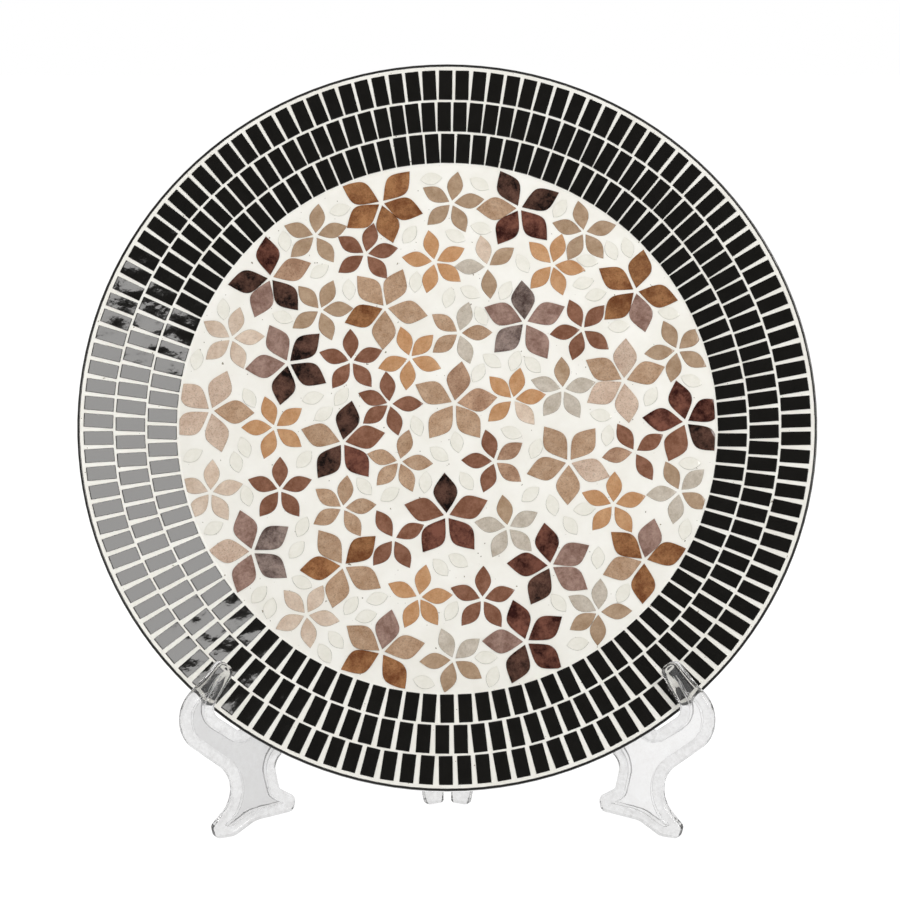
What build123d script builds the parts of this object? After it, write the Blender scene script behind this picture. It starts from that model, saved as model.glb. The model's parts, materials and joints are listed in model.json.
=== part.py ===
from build123d import *
import os
from math import cos, pi, radians, sin, tan

# A mosaic decorative plate leaning in a clear two-piece folding stand.
# All lengths are millimetres and all angles are degrees.
# The front faces -Y, +X is to the viewer's right and the stand's feet are on z = 0.

# ---- plate ----
plate_radius = 135.0
mosaic_radius = 98.6        # flat floor, as far as the innermost rim tiles
rim_slope = 15.0            # the rim rises this much from the floor's plane
body_thickness = 2.2
tile_thickness = 1.8
grout_below_tiles = 0.2
lip_width = 1.0             # black edge that stands level with the grout
lip_rounding = 0.35
foot_ring_radius = 78.0
foot_ring_width = 5.0
foot_ring_height = 2.5
seat_clearance = 0.02       # between the body and what lies on it
joint_gap = 0.07            # between a floor tile and the grout round it

# ---- rim tiles: three rings of sticks, laid by hand ----
stick_width = 5.0
stick_length = 10.9
first_ring_start = 0.85     # along the slope, from the floor's edge
ring_step = 11.75
pitch_swing = (0.060, 0.080, 0.050)
tight_side = (75.0, 70.0, 95.0)     # where each ring's sticks sit closest
ring_counts = (107, 117, 124)
ring_names = ("rim_tiles_inner", "rim_tiles_middle", "rim_tiles_outer")
stick_turn = 1.1            # largest turn of a stick off its radius
stick_shift = 0.09          # largest sideways shift of a stick

# ---- petals: length, half-width handle, and the two handles' places ----
petal_start = {"large": 1.1, "small": 1.0}
petal_length = {"large": 14.9, "small": 11.3, "leaf": 8.2}
petal_swell = {"large": 5.8, "small": 3.85, "leaf": 3.1}
petal_base_handle = {"large": 8.0, "small": 5.0, "leaf": 2.4}
petal_tip_handle = {"large": 8.0, "small": 6.8, "leaf": 5.6}
pale_flowers = (8, 33, 39)  # these three share one colour and are kept together

# ---- how the plate leans ----
lean = 18.5                 # back from upright
lowest_rim = 19.4           # the rim's lowest point above the table
hook_offset = 79.0          # the rim crosses each stand half this far from the middle
panel_angle = 58.0          # each stand half, from the fore-and-aft line

# ---- stand halves ----
panel_thickness = 4.0
web_thickness = 2.4
bead_width = 4.2
edge_rounding = 1.4
pin_radius = 2.3
pin_clearance = 0.05
knuckle_radius = 4.5
knuckle_length = 14.0
lug_length = 6.0
knuckle_gap = 0.2
pin_heights = (24.0, 80.0)  # underside of each lug
clip_opening = 3.4          # the sleeve snaps over the pin through this slot
forward_shift = 34.25       # brings the whole thing's middle onto the origin

# One stand half seen from the side: distance from the hinge's axis, height, corner rounding.
# It runs from the front toe up the leg to the finger, down into the slot that holds the rim,
# up the arm that the plate leans on, and down the rear post.
half_corners = [
    (91.0, 0.0, 6.0),
    (98.6, 0.0, 2.8),
    (99.8, 4.8, 2.0),
    (85.95, 18.2, 11.0),
    (121.35, 45.57, 13.5),
    (104.9, 56.8, 5.0),
    (96.2, 65.8, 3.4),
    (89.7, 61.4, 3.4),
    (100.5, 47.1, 4.2),
    (87.8, 37.9, 3.4),
    (46.6, 66.0, 5.0),
    (17.4, 112.0, 4.0),
    (5.8, 112.0, 3.0),
    (5.8, 20.0, 3.0),
    (2.2, 15.0, 3.0),
    (2.2, 0.0, 1.5),
    (9.6, 0.0, 2.0),
    (17.0, 31.2, 11.0),
    (75.4, 28.6, 6.0),
    (72.4, 15.2, 2.5),
    (65.6, 11.2, 2.8),
    (66.8, 5.9, 2.6),
    (82.5, 4.6, 10.0),
]

# Flowers: size, centre x, centre y, and the five petals' directions.
# The plate's own frame has x to the right and y towards the top of the leaning plate.
flowers = [
    ("large", -24.6, 84.2, (49, 156, 217, 286, 345)),
    ("small", -49.1, 71.6, (85, 162, 222, 304, 17)),
    ("small", -30.4, 64.5, (76, 147, 215, 311, 11)),
    ("small", -4.7, 61.6, (101, 172, 256, 322, 25)),
    ("large", -65.6, 55.4, (97, 189, 249, 310, 21)),
    ("small", -47.1, 43.2, (67, 132, 214, 291, 3)),
    ("large", -23.0, 44.1, (66, 131, 201, 267, 349)),
    ("small", -79.8, 32.4, (76, 148, 220, 292, 4)),
    ("large", -58.8, 23.1, (116, 188, 260, 332, 44)),
    ("small", -35.5, 23.8, (92, 164, 236, 308, 20)),
    ("small", -13.9, 25.1, (106, 45, 199, 341, 264)),
    ("large", -87.0, 5.2, (141, 213, 285, 357, 69)),
    ("small", -63.5, -1.1, (108, 180, 252, 324, 36)),
    ("small", -21.2, 7.8, (97, 161, 217, 285, 0)),
    ("large", -38.5, -6.7, (78, 162, 236, 307, 13)),
    ("small", 1.6, 84.1, (79, 151, 223, 295, 7)),
    ("large", 26.8, 82.1, (116, 181, 240, 310, 22)),
    ("small", 50.9, 72.9, (100, 163, 240, 305, 13)),
    ("small", 14.9, 59.7, (102, 36, 180, 275)),
    ("small", 39.1, 60.5, (135, 228, 288, 350, 73)),
    ("large", 69.9, 50.5, (79, 148, 223, 282, 347)),
    ("large", 28.7, 38.5, (94, 159, 225, 301, 22)),
    ("small", 50.0, 35.9, (113, 48, 189, 252, 322)),
    ("small", 85.0, 27.9, (114, 186, 258, 330, 42)),
    ("small", 4.4, 34.5, (73, 145, 217, 289, 1)),
    ("large", 65.2, 16.5, (87, 151, 211, 276, 19)),
    ("small", 42.6, 13.2, (92, 163, 234, 300, 13)),
    ("large", 2.6, 8.0, (80, 154, 235, 306, 8)),
    ("small", 24.2, 9.4, (135, 77, 222, 9, 310)),
    ("large", 87.7, 0.9, (102, 174, 246, 318, 30)),
    ("small", -17.5, -13.7, (74, 167, 227, 293, 356)),
    ("small", -61.4, -24.3, (90, 162, 234, 306, 18)),
    ("small", -86.8, -25.3, (87, 159, 231, 303, 15)),
    ("small", -38.2, -31.1, (83, 145, 209, 302, 6)),
    ("large", -71.2, -47.2, (107, 179, 251, 323, 35)),
    ("large", -0.2, -34.0, (93, 165, 237, 309, 21)),
    ("large", -37.9, -52.4, (125, 43, 186, 256, 329)),
    ("small", -19.6, -42.5, (121, 25, 299, 233)),
    ("small", -51.2, -70.4, (61, 133, 205, 277, 349)),
    ("small", -10.3, -64.0, (78, 156, 245, 304, 4)),
    ("large", -23.8, -84.1, (77, 143, 203, 302, 12)),
    ("small", 2.2, -86.9, (111, 183, 255, 327, 39)),
    ("small", 17.4, -13.7, (106, 178, 250, 322, 34)),
    ("large", 44.6, -14.0, (124, 196, 268, 340, 52)),
    ("small", 68.9, -10.2, (121, 32, 301, 190)),
    ("small", 60.8, -29.8, (87, 159, 231, 303, 15)),
    ("small", 85.1, -25.0, (114, 186, 258, 330, 42)),
    ("small", 22.1, -38.3, (99, 171, 243, 315, 27)),
    ("large", 37.7, -52.4, (98, 177, 243, 327, 28)),
    ("large", 71.9, -50.5, (16, 76, 139, 199, 267)),
    ("small", 12.8, -64.7, (88, 160, 232, 304, 16)),
    ("small", 55.0, -69.4, (152, 86, 2, 212, 268)),
    ("large", 28.6, -80.3, (107, 179, 251, 323, 35)),
]

# Single leaf tiles that fill the spaces: centre x, centre y and direction of the tip.
leaves = [
    (-6.0, 93.5, 5), (-40.0, 81.5, 15), (-60.5, 69.5, 100), (-14.0, 72.0, 55), (-47.5, 58.0, 35),
    (-36.5, 51.0, 95), (-11.7, 53.9, 85), (0.5, 48.0, 75), (-83.0, 43.5, 95), (-61.0, 40.5, 160),
    (-92.5, 24.5, 80), (-73.0, 10.0, 120), (-49.5, 10.0, 15), (-39.0, 10.5, 55), (-45.5, 4.0, 35),
    (-11.2, -0.5, 110), (12.0, 91.5, 150), (42.0, 82.0, 55), (12.6, 74.4, 165), (3.0, 71.5, 155),
    (61.0, 66.0, 115), (67.0, 67.0, 105), (28.0, 61.0, 120), (52.0, 62.0, 170), (50.5, 53.5, 15),
    (55.0, 49.0, 15), (8.5, 50.0, 155), (21.6, 50.6, 62), (12.5, 41.0, 120), (63.5, 37.0, 5),
    (82.0, 42.0, 170), (16.5, 24.0, 145), (25.0, 24.0, 70), (31.5, 22.5, 135), (11.5, 19.5, 60),
    (90.0, 16.5, 160), (75.0, 10.5, 60), (56.5, 3.5, 170), (23.5, -3.0, 160), (3.5, -6.5, 100),
    (59.0, -4.0, 80), (-93.5, -11.5, 30), (-77.5, -14.0, 105), (-74.5, -8.5, 110), (-52.5, -13.0, 50),
    (-73.5, -26.5, 105), (-85.5, -38.5, 30), (-53.0, -38.0, 65), (-55.0, -46.5, 50), (-53.0, -58.5, 155),
    (-68.5, -63.0, 50), (-64.5, -68.0, 75), (-44.5, -84.5, 120), (-40.5, -79.5, 130), (-35.0, -67.0, 55),
    (-25.5, -64.5, 15), (-29.5, -71.0, 15), (-30.5, -23.0, 130), (-21.0, -26.0, 35), (-8.0, -21.5, 85),
    (-3.0, -11.0, 145), (-2.5, -53.0, 130), (1.5, -69.0, 60), (-8.5, -95.0, 165), (32.5, -9.0, 65),
    (7.0, -21.0, 125), (30.5, -26.0, 40), (38.5, -30.0, 105), (50.2, -31.5, 5), (45.0, -37.5, 125),
    (4.0, -50.5, 150), (55.0, -49.5, 85), (40.5, -66.0, 130), (64.0, -62.5, 60), (14.0, -86.0, 0),
    (16.5, -93.0, 70), (47.5, -81.0, 10), (87.0, -39.0, 75), (89.0, -14.5, 0),
]

# ---- worked out from the dimensions above ----
slope = radians(rim_slope)
floor_top = body_thickness + tile_thickness
crease_shift = tan(slope / 2)       # a surface below the tiles bends this much further out, per mm
lip_inside = plate_radius - lip_width
lip_height = floor_top + (plate_radius - mosaic_radius) * tan(slope)
lean_angle = radians(lean)
normal = Vector(0, -cos(lean_angle), sin(lean_angle))
plate_up = Vector(0, sin(lean_angle), cos(lean_angle))


def rim_point(along, depth):
    """Radius and height of a point on the rim: along its slope, and depth below the tiles' tops."""
    radius = mosaic_radius + along * cos(slope) + depth * sin(slope)
    height = floor_top + along * sin(slope) - depth * cos(slope)
    return radius, height


def rim_height(radius, depth):
    """Height of the rim at a radius, for the surface that lies depth below the tiles' tops."""
    return floor_top + (radius - mosaic_radius) * tan(slope) - depth / cos(slope)


def plate_frame():
    """The plate's own frame: underside of the floor at its centre, with z along the front's normal."""
    hook_along = (plate_radius**2 - hook_offset**2) ** 0.5
    centre_z = lowest_rim + plate_radius * cos(lean_angle) - lip_height * sin(lean_angle)
    middle_height = lip_height - (body_thickness + tile_thickness) / 2
    rim_y = (middle_height * normal - hook_along * plate_up).Y
    return Plane(origin=(0, -rim_y, centre_z), x_dir=(1, 0, 0), z_dir=normal)


def turned(profile):
    """Revolves a face of the XZ plane about the plate's axis."""
    return revolve(profile, Axis.Z, 360)


def plate_body():
    """The black dish: flat floor, sloping rim, upturned edge and a foot ring underneath."""
    bottom_crease = mosaic_radius + floor_top * crease_shift
    top_crease = mosaic_radius + tile_thickness * crease_shift
    lip_top = rim_height(lip_inside, 0)
    outline = Polyline(
        (0, 0),
        (bottom_crease, 0),
        (plate_radius, rim_height(plate_radius, floor_top)),
        (plate_radius, lip_top),
        (lip_inside, lip_top),
        (lip_inside, rim_height(lip_inside, tile_thickness)),
        (top_crease, body_thickness),
        (0, body_thickness),
        close=True,
    )
    section = make_face(outline)
    lip_corners = section.vertices().sort_by(Axis.Y)[-2:]
    section = fillet(lip_corners, lip_rounding)
    dish = turned(Plane.XZ * section)
    inner = foot_ring_radius - foot_ring_width / 2
    outer = foot_ring_radius + foot_ring_width / 2
    ring_outline = Polyline(
        (inner, body_thickness / 2),
        (inner + 0.4, -foot_ring_height),
        (outer - 0.4, -foot_ring_height),
        (outer, body_thickness / 2),
        close=True,
    )
    return dish + turned(Plane.XZ * make_face(ring_outline))


def petal(kind, grow=0.0):
    """A pointed petal outline from the origin along +X, made of two matching curves."""
    length = petal_length[kind] + 2 * grow
    swell = petal_swell[kind] + grow * 4 / 3
    near = petal_base_handle[kind] + grow
    far = petal_tip_handle[kind] + grow
    upper = Bezier((0, 0), (near, swell), (far, swell), (length, 0))
    lower = Bezier((length, 0), (far, -swell), (near, -swell), (0, 0))
    return Pos(-grow, 0, 0) * make_face(upper + lower)


def flower_outlines(kind, x, y, directions, grow=0.0):
    """The petals of one flower."""
    shape = Pos(petal_start[kind], 0, 0) * petal(kind, grow)
    return [Pos(x, y, 0) * Rot(0, 0, turn) * shape for turn in directions]


def leaf_outlines(grow=0.0):
    """The single leaf tiles, each centred on its place."""
    shape = Pos(-petal_length["leaf"] / 2, 0, 0) * petal("leaf", grow)
    return [Pos(x, y, 0) * Rot(0, 0, turn) * shape for x, y, turn in leaves]


def reach(shape):
    """How far the furthest corner of a shape's bounding box is from the plate's axis."""
    box = shape.bounding_box()
    across = max(abs(box.min.X), abs(box.max.X))
    upwards = max(abs(box.min.Y), abs(box.max.Y))
    return (across**2 + upwards**2) ** 0.5


def floor_tile(outline):
    """A floor tile, cut short where it would pass the floor's edge."""
    tile = extrude(Pos(0, 0, body_thickness + seat_clearance) * outline, tile_thickness - seat_clearance)
    limit = mosaic_radius - joint_gap
    if reach(tile) > limit:
        tile = tile & Cylinder(limit, 4 * floor_top)
    return tile


def ring_sticks(ring, grow=0.0, through=0.0):
    """One ring of stick tiles on the rim, with slightly uneven spacing, turn and shift."""
    count = ring_counts[ring]
    along = first_ring_start + ring * ring_step + stick_length / 2
    sticks = []
    for number in range(count):
        even_angle = 2 * pi * number / count
        swing = pitch_swing[ring] * sin(even_angle - radians(tight_side[ring]))
        shift = stick_shift * sin(7.3 * number + ring)
        radius, height = rim_point(along, tile_thickness - seat_clearance)
        angle = even_angle - swing + shift / radius
        out = Vector(cos(angle), sin(angle), 0)
        side = Vector(-sin(angle), cos(angle), 0)
        up = Vector(0, 0, 1) * cos(slope) - out * sin(slope)
        place = Plane(origin=out * radius + Vector(0, 0, height), x_dir=side, z_dir=up)
        turn = stick_turn * sin(4.1 * number + 2 * ring)
        block = Box(
            stick_width + 2 * grow,
            stick_length + 2 * grow,
            tile_thickness - seat_clearance + 2 * through,
            align=(Align.CENTER, Align.CENTER, Align.MIN),
        )
        sticks.append(place.location * Rot(0, 0, turn) * Pos(0, 0, -through) * block)
    return sticks


def grout_bed():
    """The grout: one skin over the whole plate, with a pocket for every tile."""
    top = grout_below_tiles
    bottom = tile_thickness - seat_clearance
    top_crease = mosaic_radius + top * crease_shift
    bottom_crease = mosaic_radius + bottom * crease_shift
    rim_end = lip_inside - seat_clearance
    outline = Polyline(
        (0, floor_top - bottom),
        (bottom_crease, floor_top - bottom),
        (rim_end, rim_height(rim_end, bottom)),
        (rim_end, rim_height(rim_end, top)),
        (top_crease, floor_top - top),
        (0, floor_top - top),
        close=True,
    )
    bed = turned(Plane.XZ * make_face(outline))
    pockets = [stick for ring in range(3) for stick in ring_sticks(ring, through=1.0)]
    outlines = [outline for row in flowers for outline in flower_outlines(*row, grow=joint_gap)]
    outlines += leaf_outlines(grow=joint_gap)
    limit = Cylinder(mosaic_radius, 4 * floor_top)
    for outline in outlines:
        pocket = extrude(outline, 2 * floor_top)
        if reach(pocket) > mosaic_radius:
            pocket = pocket & limit
        pockets.append(pocket)
    return bed.cut(*[solid for pocket in pockets for solid in pocket.solids()])


def half_outline():
    """The side view of one stand half, with every corner rounded."""
    face = make_face(Polyline(*[(u, v) for u, v, _ in half_corners], close=True))
    for u, v, rounding in half_corners:
        corner = face.vertices().sort_by_distance((u, v, 0))[0]
        face = fillet(corner, rounding)
    return face


def panel():
    """One stand half as a flat panel: a thin web inside a thick rounded border."""
    face = half_outline()
    solid = extrude(face, panel_thickness / 2, both=True)
    rim_edges = solid.faces().filter_by(Axis.Z).edges()
    solid = fillet(rim_edges, edge_rounding)
    recess_depth = (panel_thickness - web_thickness) / 2
    for inner in offset(face, -bead_width).faces():
        recess = extrude(Pos(0, 0, web_thickness / 2) * inner, 2 * recess_depth)
        solid -= recess
        solid -= mirror(recess, Plane.XY)
    return solid


def upright(radius, bottom, height):
    """A cylinder on the hinge's axis, in a half's own frame where heights run along +Y."""
    barrel = Cylinder(radius, height, align=(Align.CENTER, Align.CENTER, Align.MIN))
    return Pos(0, bottom, 0) * Rot(-90, 0, 0) * barrel


def tongue(bottom, height):
    """The short arm that ties a knuckle to the rear post."""
    bar = Box(8.0, height, panel_thickness - 0.4, align=(Align.MIN, Align.MIN, Align.CENTER))
    return Pos(0, bottom, 0) * bar


def pin_half():
    """The half that carries the two hinge pins, each held between a pair of lugs."""
    half = panel()
    for bottom in pin_heights:
        top_lug = bottom + lug_length + knuckle_length + 2 * knuckle_gap
        for lug in (bottom, top_lug):
            half += tongue(lug, lug_length) + upright(knuckle_radius, lug, lug_length)
        half += upright(pin_radius, bottom + lug_length / 2, top_lug - bottom)
    return half


def clip_half():
    """The half with the two sleeves that snap over the pins."""
    half = panel()
    for bottom in pin_heights:
        start = bottom + lug_length + knuckle_gap
        sleeve = tongue(start, knuckle_length) + upright(knuckle_radius, start, knuckle_length)
        sleeve -= upright(pin_radius + pin_clearance, start - 1, knuckle_length + 2)
        opening = Box(
            2 * knuckle_radius,
            knuckle_length + 2,
            clip_opening,
            align=(Align.MAX, Align.MIN, Align.CENTER),
        )
        half += sleeve - Pos(0, start - 1, 0) * opening
    return half


def half_plane():
    """Where the right half stands: its x runs out from the hinge's axis and its y is upwards."""
    turn = radians(panel_angle)
    hinge = (0, hook_offset / tan(turn), 0)
    outwards = (sin(turn), -cos(turn), 0)
    sideways = (-cos(turn), -sin(turn), 0)
    return Plane(origin=hinge, x_dir=outwards, z_dir=sideways)


def save(name, shape):
    """Writes one piece, moved so that the whole thing is centred on the origin."""
    export_step(Pos(0, -forward_shift, 0) * shape, f"parts/{name}.step")


def save_tiles(name, place, solids):
    """Writes a group of tiles that lie in the plate."""
    save(name, Compound(children=[place.location * solid for solid in solids]))


def build():
    os.makedirs("parts", exist_ok=True)
    place = plate_frame()
    save("plate_body", place.location * plate_body())
    save("grout_bed", place.location * grout_bed())
    for ring, name in enumerate(ring_names):
        save_tiles(name, place, ring_sticks(ring))
    pale = []
    for number, row in enumerate(flowers, start=1):
        petals = [floor_tile(outline) for outline in flower_outlines(*row)]
        if number in pale_flowers:
            pale += petals
        else:
            save_tiles(f"flower_{number:02d}", place, petals)
    save_tiles("flowers_pale", place, pale)
    save_tiles("leaf_tiles", place, [floor_tile(outline) for outline in leaf_outlines()])
    right = half_plane()
    save("stand_right", right.location * clip_half())
    save("stand_left", mirror(right.location * pin_half(), Plane.YZ))


build()
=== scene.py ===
import json
import math

import bpy
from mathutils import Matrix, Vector

# A mosaic plate in a clear folding stand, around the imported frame. Metres, +Z up, front towards -Y.
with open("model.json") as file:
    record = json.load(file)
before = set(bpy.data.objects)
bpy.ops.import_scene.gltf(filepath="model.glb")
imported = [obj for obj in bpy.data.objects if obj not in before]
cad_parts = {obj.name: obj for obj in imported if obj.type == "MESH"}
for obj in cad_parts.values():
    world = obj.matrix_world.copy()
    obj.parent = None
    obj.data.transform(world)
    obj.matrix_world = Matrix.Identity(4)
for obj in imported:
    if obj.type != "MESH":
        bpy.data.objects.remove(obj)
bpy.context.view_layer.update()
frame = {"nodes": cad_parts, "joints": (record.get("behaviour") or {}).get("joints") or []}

# ---- places, from the frame ----
nodes = frame["nodes"]
plate_up = Vector(next(j["axis"] for j in frame["joints"] if j["name"] == "plate_lift"))
plate_right = Vector((1.0, 0.0, 0.0))

# ---- the stand's panels: their angle from fore-and-aft, and half their thicknesses ----
panel_turn = math.radians(58.0)
panel_half = 0.002
web_half = 0.0012
web_limit = 0.0014      # flat faces nearer the panel's middle than this are the web's
flat_facing = 0.99      # faces along the panel turn towards its side by more than this
edge_facing = 0.15      # faces across the panel turn towards its side by less than this

# ---- camera ----
camera_elevation = math.radians(8.2)
camera_distance = 1.1
camera_target = Vector((0.001, 0.0116, 0.1343))
camera_lens = 119.05

# ---- floor ----
floor_size = 30.0
floor_height = -0.0002      # a little below the feet, so that no two faces share a place

# ---- colours, as seen in sRGB ----
palette = {
    "black": ((22, 21, 19), (27, 26, 24)),
    "ivory": ((243, 241, 232), (234, 232, 221)),
    "pale": ((231, 213, 195), (207, 183, 162)),
    "rust": ((172, 123, 83), (120, 73, 45)),
    "chocolate": ((152, 109, 88), (118, 77, 58)),
    "orange": ((211, 166, 125), (189, 139, 96)),
    "beige": ((191, 165, 139), (163, 135, 108)),
    "grey": ((216, 207, 194), (186, 174, 158)),
    "tan": ((201, 171, 144), (171, 137, 108)),
    "brown": ((206, 170, 142), (168, 131, 106)),
    "mauve": ((174, 145, 133), (126, 96, 85)),
    "pink": ((221, 199, 180), (197, 170, 150)),
    "dark": ((104, 74, 63), (22, 15, 13)),
    "slate": ((157, 139, 131), (83, 67, 63)),
    "dark_red": ((128, 82, 68), (52, 24, 20)),
    "grout": ((247, 246, 240), (239, 237, 229)),
}

# Each flower's main colour, then the petals that differ, by direction from the flower's middle.
flower_colours = {
    1: ("rust", {}),
    2: ("beige", {}),
    3: ("chocolate", {}),
    4: ("orange", {}),
    5: ("dark", {97: "dark_red", 249: "mauve", 21: "brown"}),
    6: ("beige", {}),
    7: ("tan", {201: "rust"}),
    9: ("dark", {116: "mauve", 188: "mauve"}),
    10: ("chocolate", {}),
    11: ("orange", {}),
    12: ("pink", {357: "tan"}),
    13: ("orange", {}),
    14: ("chocolate", {}),
    15: ("dark", {162: "tan", 307: "dark_red", 13: "chocolate"}),
    16: ("beige", {}),
    17: ("dark_red", {182: "tan", 116: "dark", 22: "dark"}),
    18: ("beige", {}),
    19: ("beige", {180: "grey", 102: "pale"}),
    20: ("orange", {}),
    21: ("rust", {282: "mauve"}),
    22: ("slate", {159: "mauve", 22: "mauve", 301: "mauve"}),
    23: ("chocolate", {}),
    24: ("beige", {}),
    25: ("tan", {73: "grey", 289: "grey"}),
    26: ("pink", {151: "tan", 19: "tan"}),
    27: ("grey", {92: "beige"}),
    28: ("tan", {80: "brown", 8: "brown"}),
    29: ("orange", {310: "pale"}),
    30: ("dark_red", {318: "dark", 246: "chocolate"}),
    31: ("tan", {}),
    32: ("chocolate", {}),
    34: ("tan", {}),
    35: ("mauve", {179: "pink", 323: "slate", 35: "slate"}),
    36: ("dark_red", {93: "dark", 165: "chocolate", 21: "chocolate"}),
    37: ("tan", {43: "rust", 186: "rust"}),
    38: ("chocolate", {}),
    40: ("orange", {}),
    41: ("tan", {77: "mauve", 202: "rust", 302: "rust"}),
    42: ("grey", {183: "beige", 327: "beige", 255: "beige"}),
    43: ("chocolate", {322: "brown", 34: "brown"}),
    44: ("tan", {340: "pink"}),
    45: ("chocolate", {190: "brown"}),
    46: ("orange", {}),
    47: ("beige", {186: "grey", 258: "grey", 42: "grey"}),
    48: ("grey", {99: "beige"}),
    49: ("dark_red", {243: "dark", 327: "mauve", 28: "mauve"}),
    50: ("rust", {198: "tan", 74: "mauve"}),
    51: ("chocolate", {}),
    52: ("beige", {152: "grey", 86: "grey"}),
    53: ("dark_red", {179: "mauve", 251: "dark"}),
}

# ---- the tile colours with strong marbling, and those with the darker specks ----
strong_marble = ("dark", "slate", "dark_red", "rust", "brown")
speckled = ("tan", "rust", "brown", "pink", "dark", "slate")

# ---- linear colours: plain white, and the slightly warm white of the lights ----
white = (1.0, 1.0, 1.0, 1.0)
box_colour = (1.0, 0.985, 0.965)

# ---- edges: how near two corners are joined, and how wide each kind of piece is rounded ----
weld_distance = 0.000004
edge_width = {"body": 0.0002, "stick": 0.00025, "petal": 0.0002, "leaf": 0.00006}


def linear(colour):
    """An sRGB colour of 0 to 255 as linear RGBA."""
    values = [c / 255 for c in colour]
    return [c / 12.92 if c <= 0.04045 else ((c + 0.055) / 1.055) ** 2.4 for c in values] + [1.0]


def shade(value):
    """A neutral tone as RGBA."""
    return (value, value, value, 1.0)


def new_material(name):
    """An empty material, its node tree and its shader."""
    material = bpy.data.materials.new(name)
    material.use_nodes = True
    tree = material.node_tree
    return material, tree, tree.nodes["Principled BSDF"]


def noise(tree, scale, detail=3.0, roughness=0.5, distortion=0.0):
    """A noise texture in the object's own coordinates, with scale in features per metre."""
    place = tree.nodes.new("ShaderNodeTexCoord")
    texture = tree.nodes.new("ShaderNodeTexNoise")
    texture.inputs["Scale"].default_value = scale
    texture.inputs["Detail"].default_value = detail
    texture.inputs["Roughness"].default_value = roughness
    texture.inputs["Distortion"].default_value = distortion
    tree.links.new(place.outputs["Object"], texture.inputs["Vector"])
    return texture.outputs["Fac"]


def ramp(tree, value, stops):
    """A colour ramp over a value, with (place, colour) stops."""
    node = tree.nodes.new("ShaderNodeValToRGB")
    elements = node.color_ramp.elements
    while len(elements) < len(stops):
        elements.new(0.5)
    for element, (place, colour) in zip(elements, stops):
        element.position = place
        element.color = colour
    tree.links.new(value, node.inputs["Fac"])
    return node.outputs["Color"]


def mixed(tree, factor, first, second, blend="MIX"):
    """Mixes two colours. The factor and the colours may be sockets or plain values.

    For colours, a Mix node has its factor at input 0 and the colours at 6 and 7."""
    node = tree.nodes.new("ShaderNodeMix")
    node.data_type = "RGBA"
    node.blend_type = blend
    for index, value in ((0, factor), (6, first), (7, second)):
        if isinstance(value, bpy.types.NodeSocket):
            tree.links.new(value, node.inputs[index])
        else:
            node.inputs[index].default_value = value
    return node.outputs[2]


def bump(tree, height, strength, distance, below=None):
    """A bumped normal, on top of another one if that is given."""
    node = tree.nodes.new("ShaderNodeBump")
    node.inputs["Strength"].default_value = strength
    node.inputs["Distance"].default_value = distance
    tree.links.new(height, node.inputs["Height"])
    if below is not None:
        tree.links.new(below, node.inputs["Normal"])
    return node.outputs["Normal"]


def clear_coat(tree, shader):
    """The gloss on the tiles and the dish, with a slow wobble and a finer orange peel."""
    wobble = bump(tree, noise(tree, 95.0, 1.0), 0.5, 0.0005)
    peel = bump(tree, noise(tree, 420.0, 2.0), 0.25, 0.00008, wobble)
    tree.links.new(peel, shader.inputs["Coat Normal"])
    shader.inputs["Coat Weight"].default_value = 1.0
    shader.inputs["Coat Roughness"].default_value = 0.05
    shader.inputs["Coat IOR"].default_value = 1.5


def island_shade(tree, colour, low, high):
    """Makes each separate tile a little lighter or darker than its neighbours."""
    geometry = tree.nodes.new("ShaderNodeNewGeometry")
    island = geometry.outputs["Random Per Island"]
    shades = ramp(tree, island, [(0.0, shade(low)), (1.0, shade(high))])
    return mixed(tree, 1.0, colour, shades, "MULTIPLY")


def tile_material(name):
    """Ceramic or stone tile: blotches and grains from its light to its dark colour, under the gloss."""
    light, dark = (linear(c) for c in palette[name])
    material, tree, shader = new_material("tile_" + name)
    strong = name in strong_marble
    blotch_scale = 150.0 if strong else 230.0
    grain_share = 0.4 if strong else 0.5
    dark_below, light_above = (0.40, 0.59) if strong else (0.38, 0.62)
    blotches = noise(tree, blotch_scale, 3.0, 0.55, 0.15)
    grains = noise(tree, 800.0, 5.0, 0.75)
    pattern = mixed(tree, grain_share, blotches, grains)
    colour = ramp(tree, pattern, [(dark_below, dark), (light_above, light)])
    if name != "ivory":
        speck = shade(0.7 if name in speckled else 0.87)
        specks = ramp(tree, noise(tree, 1900.0, 3.0, 0.6), [(0.36, speck), (0.48, white)])
        colour = mixed(tree, 1.0, colour, specks, "MULTIPLY")
    if strong:
        colour = island_shade(tree, colour, 0.8, 1.0)
    elif name != "ivory":
        colour = island_shade(tree, colour, 0.9, 1.0)
    tree.links.new(colour, shader.inputs["Base Color"])
    tree.links.new(bump(tree, noise(tree, 900.0), 0.15, 0.00005), shader.inputs["Normal"])
    shader.inputs["Roughness"].default_value = 0.45
    shader.inputs["Specular IOR Level"].default_value = 0.0
    clear_coat(tree, shader)
    return material


def grout_material():
    """Near-white grout with faint cloudiness, a few small dark specks and only a faint gloss."""
    light, dark = (linear(c) for c in palette["grout"])
    material, tree, shader = new_material("grout_white")
    colour = ramp(tree, noise(tree, 70.0, 5.0, 0.6), [(0.3, dark), (0.65, light)])
    speck = (0.30, 0.27, 0.22, 1.0)
    specks = ramp(tree, noise(tree, 750.0, 1.0), [(0.215, speck), (0.245, white)])
    colour = mixed(tree, 1.0, colour, specks, "MULTIPLY")
    tree.links.new(colour, shader.inputs["Base Color"])
    tree.links.new(bump(tree, noise(tree, 1300.0, 4.0), 0.25, 0.00008), shader.inputs["Normal"])
    shader.inputs["Roughness"].default_value = 0.5
    shader.inputs["Specular IOR Level"].default_value = 0.1
    shader.inputs["Coat Weight"].default_value = 0.2
    shader.inputs["Coat Roughness"].default_value = 0.25
    return material


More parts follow.
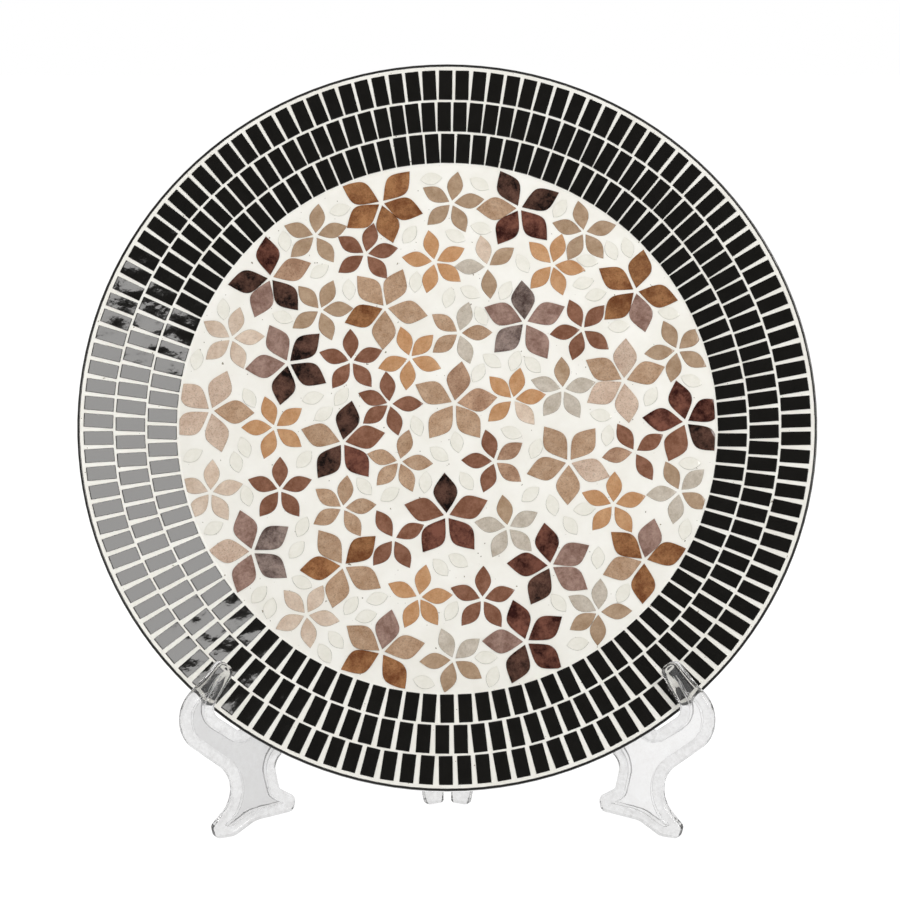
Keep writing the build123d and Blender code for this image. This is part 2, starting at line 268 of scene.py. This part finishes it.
def body_material():
    """The dish itself: black glaze, with slow waves and fine pits."""
    material, tree, shader = new_material("plate_black")
    dark = linear((20, 19, 18))
    light = linear((32, 31, 29))
    colour = ramp(tree, noise(tree, 160.0, 5.0), [(0.3, dark), (0.7, light)])
    tree.links.new(colour, shader.inputs["Base Color"])
    waves = bump(tree, noise(tree, 60.0, 2.0), 0.2, 0.0004)
    pits = bump(tree, noise(tree, 1500.0, 2.0), 0.12, 0.00006, waves)
    tree.links.new(pits, shader.inputs["Normal"])
    shader.inputs["Roughness"].default_value = 0.16
    clear_coat(tree, shader)
    return material


def stand_material(name, tint, streak, haze, transmission=1.0):
    """Clear moulded plastic: a faint tint with darker streaks, flow ripples and handling haze.

    The streak is a share of the tint, and the haze is the least and greatest roughness."""
    material, tree, shader = new_material(name)
    ripples = noise(tree, 55.0, 3.0, 0.5, 0.8)
    swirls = bump(tree, ripples, 0.25, 0.0006)
    tree.links.new(bump(tree, noise(tree, 420.0, 2.0), 0.12, 0.0001, swirls), shader.inputs["Normal"])
    least, greatest = (shade(value) for value in haze)
    roughness = ramp(tree, noise(tree, 300.0, 4.0), [(0.35, least), (0.75, greatest)])
    tree.links.new(roughness, shader.inputs["Roughness"])
    low = tint * streak
    streak_colour = (low, low * 0.99, low * 0.985, 1.0)
    flow = mixed(tree, 0.4, noise(tree, 260.0, 2.0, 0.5, 1.5), noise(tree, 1200.0, 4.0, 0.7))
    colour = ramp(tree, flow, [(0.38, streak_colour), (0.6, shade(tint))])
    tree.links.new(colour, shader.inputs["Base Color"])
    shader.inputs["Transmission Weight"].default_value = transmission
    shader.inputs["IOR"].default_value = 1.49
    return material


def weld(piece):
    """Joins the mesh's split edges and makes its faces smooth."""
    modifier = piece.modifiers.new("weld", "WELD")
    modifier.merge_threshold = weld_distance
    for face in piece.data.polygons:
        face.use_smooth = True


def even_shading(piece, weight):
    """Shades by the large faces. A higher weight leans further towards them."""
    modifier = piece.modifiers.new("shading", "WEIGHTED_NORMAL")
    modifier.keep_sharp = False
    modifier.weight = weight


def soften(piece, width, angle=40.0):
    """Rounds every edge that turns by more than the angle, on a smooth mesh."""
    weld(piece)
    bevel = piece.modifiers.new("edges", "BEVEL")
    bevel.width = width
    bevel.segments = 2
    bevel.limit_method = "ANGLE"
    bevel.angle_limit = math.radians(angle)
    bevel.use_clamp_overlap = True
    bevel.harden_normals = False
    even_shading(piece, 80)


def dress(piece, *materials):
    """Replaces a piece's materials."""
    piece.data.materials.clear()
    for material in materials:
        piece.data.materials.append(material)


def tile_groups(mesh):
    """The separate tiles of a node, each as a list of face numbers.

    Faces belong together when they share a corner, to the nearest micrometre."""
    parent = {}

    def root(key):
        while parent[key] != key:
            parent[key] = parent[parent[key]]
            key = parent[key]
        return key

    keys = [tuple(round(c * 1e6) for c in v.co) for v in mesh.vertices]
    for key in keys:
        parent.setdefault(key, key)
    for face in mesh.polygons:
        first, *rest = (keys[v] for v in face.vertices)
        for other in rest:
            parent[root(other)] = root(first)
    groups = {}
    for face in mesh.polygons:
        groups.setdefault(root(keys[face.vertices[0]]), []).append(face.index)
    return list(groups.values())


def petal_middle(faces, group):
    """A petal's middle, across and up the plate."""
    area = sum(faces[i].area for i in group)
    middle = sum((faces[i].center * faces[i].area for i in group), Vector()) / area
    return middle.dot(plate_right), middle.dot(plate_up)


def petal_directions(faces, groups):
    """The direction of each petal from its flower's middle, in degrees."""
    middles = [petal_middle(faces, group) for group in groups]
    centre_x = sum(x for x, y in middles) / len(middles)
    centre_y = sum(y for x, y in middles) / len(middles)
    return [math.degrees(math.atan2(y - centre_y, x - centre_x)) for x, y in middles]


def angle_between(first, second):
    """The size of the turn from one direction to another, in degrees."""
    return abs((first - second + 180) % 360 - 180)


def paint_flower(piece, main, others, materials):
    """Gives the whole flower its main material and the listed petals their own."""
    dress(piece, materials[main], *(materials[name] for name in others.values()))
    faces = piece.data.polygons
    groups = tile_groups(piece.data)
    directions = petal_directions(faces, groups)
    for slot, wanted in enumerate(others, start=1):
        misses = [angle_between(direction, wanted) for direction in directions]
        for index in groups[misses.index(min(misses))]:
            faces[index].material_index = slot


def finish_plate():
    """Gives the dish, the grout and the tiles their materials, and all but the grout soft edges."""
    materials = {name: tile_material(name) for name in palette if name != "grout"}
    dress(nodes["plate_body"], body_material())
    soften(nodes["plate_body"], edge_width["body"], 50.0)
    dress(nodes["grout_bed"], grout_material())
    for ring in ("inner", "middle", "outer"):
        piece = nodes["rim_tiles_" + ring]
        dress(piece, materials["black"])
        soften(piece, edge_width["stick"])
    for number, (main, others) in flower_colours.items():
        piece = nodes[f"flower_{number:02d}"]
        paint_flower(piece, main, others, materials)
        soften(piece, edge_width["petal"])
    dress(nodes["flowers_pale"], materials["pale"])
    soften(nodes["flowers_pale"], edge_width["petal"])
    dress(nodes["leaf_tiles"], materials["ivory"])
    soften(nodes["leaf_tiles"], edge_width["leaf"])


def paint_web(piece, hinge, side):
    """Gives the thin web the second material and the small step round it the third.

    The side is 1 for the right half and -1 for the left one."""
    across = Vector((math.cos(panel_turn) * side, math.sin(panel_turn), 0.0))
    for face in piece.data.polygons:
        off = abs((face.center - hinge).dot(across))
        facing = abs(face.normal.dot(across))
        if off < web_limit and facing > flat_facing:
            face.material_index = 1
        elif web_half < off < panel_half and facing < edge_facing:
            face.material_index = 2


def finish_stand():
    """Gives both halves their clear materials; the left web's darker tint is painted shade. Their edges
    are rounded already in the CAD.
    """
    hinge = Vector(next(j["pos_m"] for j in frame["joints"] if j["name"] == "stand_hinge"))
    border = stand_material("stand_clear", 0.79, 0.84, (0.03, 0.1))
    step = stand_material("stand_step", 0.98, 0.95, (0.45, 0.6), 0.5)
    # Painted shade: the left web gets a darker tint (0.65) than the right (0.82) on the same plastic,
    # for light falling from the right.
    for name, side, tint in (("stand_left", -1, 0.65), ("stand_right", 1, 0.82)):
        piece = nodes[name]
        web = stand_material(name + "_web", tint, 0.95, (0.08, 0.2))
        dress(piece, border, web, step)
        paint_web(piece, hinge, side)
        weld(piece)
        even_shading(piece, 50)


def make_floor():
    """A plain floor that glows white, so that it runs on into the background."""
    bpy.ops.mesh.primitive_plane_add(size=floor_size, location=(0.0, 0.0, floor_height))
    floor = bpy.context.object
    floor.name = "floor"
    material, tree, shader = new_material("floor_pale")
    tone = ramp(tree, noise(tree, 3.0, 2.0), [(0.2, shade(0.13)), (0.8, shade(0.15))])
    tree.links.new(tone, shader.inputs["Base Color"])
    shader.inputs["Roughness"].default_value = 0.9
    shader.inputs["Specular IOR Level"].default_value = 0.0
    shader.inputs["Emission Color"].default_value = white
    shader.inputs["Emission Strength"].default_value = 1.0
    dress(floor, material)


def softbox(name, azimuth, elevation, distance, width, height, radiance):
    """A rectangular light aimed at the plate. Azimuth 0 is in front and 90 is on the right."""
    turn = math.radians(azimuth)
    rise = math.radians(elevation)
    ahead = math.cos(rise)
    away = Vector((math.sin(turn) * ahead, -math.cos(turn) * ahead, math.sin(rise)))
    light = bpy.data.lights.new(name, "AREA")
    light.shape = "RECTANGLE"
    light.size = width
    light.size_y = height
    light.energy = radiance * math.pi * width * height
    light.color = box_colour
    lamp = bpy.data.objects.new(name, light)
    bpy.context.scene.collection.objects.link(lamp)
    lamp.location = camera_target + away * distance
    lamp.rotation_mode = "QUATERNION"
    lamp.rotation_quaternion = away.to_track_quat("Z", "Y")


def make_lights():
    """The first box is the glare on the plate's left rim. The others fill in."""
    softbox("box_right_front", 27.5, 33.0, 1.6, 0.6, 0.6, 7.6)
    softbox("box_left", -78.0, 35.0, 1.5, 1.2, 1.2, 1.5)
    softbox("box_right", 84.0, 35.0, 1.5, 1.2, 1.2, 1.3)
    softbox("box_top", 0.0, 80.0, 1.4, 1.4, 1.0, 1.7)


def make_world():
    """White where it is seen straight or through the stand.

    As a light and in reflections it is dim in front and bright behind."""
    world = bpy.data.worlds.new("studio")
    bpy.context.scene.world = world
    world.use_nodes = True
    tree = world.node_tree
    background = tree.nodes["Background"]
    place = tree.nodes.new("ShaderNodeTexCoord")
    parts = tree.nodes.new("ShaderNodeSeparateXYZ")
    tree.links.new(place.outputs["Generated"], parts.inputs["Vector"])
    dim = (0.06, 0.06, 0.062, 1.0)
    bright = shade(0.6)
    surround = ramp(tree, parts.outputs["Y"], [(0.0, dim), (0.45, bright)])
    path = tree.nodes.new("ShaderNodeLightPath")
    either = tree.nodes.new("ShaderNodeMath")
    either.operation = "MAXIMUM"
    tree.links.new(path.outputs["Is Camera Ray"], either.inputs[0])
    tree.links.new(path.outputs["Is Transmission Ray"], either.inputs[1])
    colour = mixed(tree, either.outputs[0], surround, white)
    tree.links.new(colour, background.inputs["Color"])
    background.inputs["Strength"].default_value = 1.0


def make_camera():
    """Looks at the plate from straight in front and a little above."""
    data = bpy.data.cameras.new("camera")
    data.lens = camera_lens
    data.sensor_width = 36.0
    camera = bpy.data.objects.new("camera", data)
    bpy.context.scene.collection.objects.link(camera)
    away = Vector((0.0, -math.cos(camera_elevation), math.sin(camera_elevation)))
    camera.location = camera_target + away * camera_distance
    camera.rotation_mode = "QUATERNION"
    camera.rotation_quaternion = away.to_track_quat("Z", "Y")
    bpy.context.scene.camera = camera


finish_plate()
finish_stand()
make_floor()
make_lights()
make_world()
make_camera()
bpy.context.scene.view_settings.view_transform = "Standard"
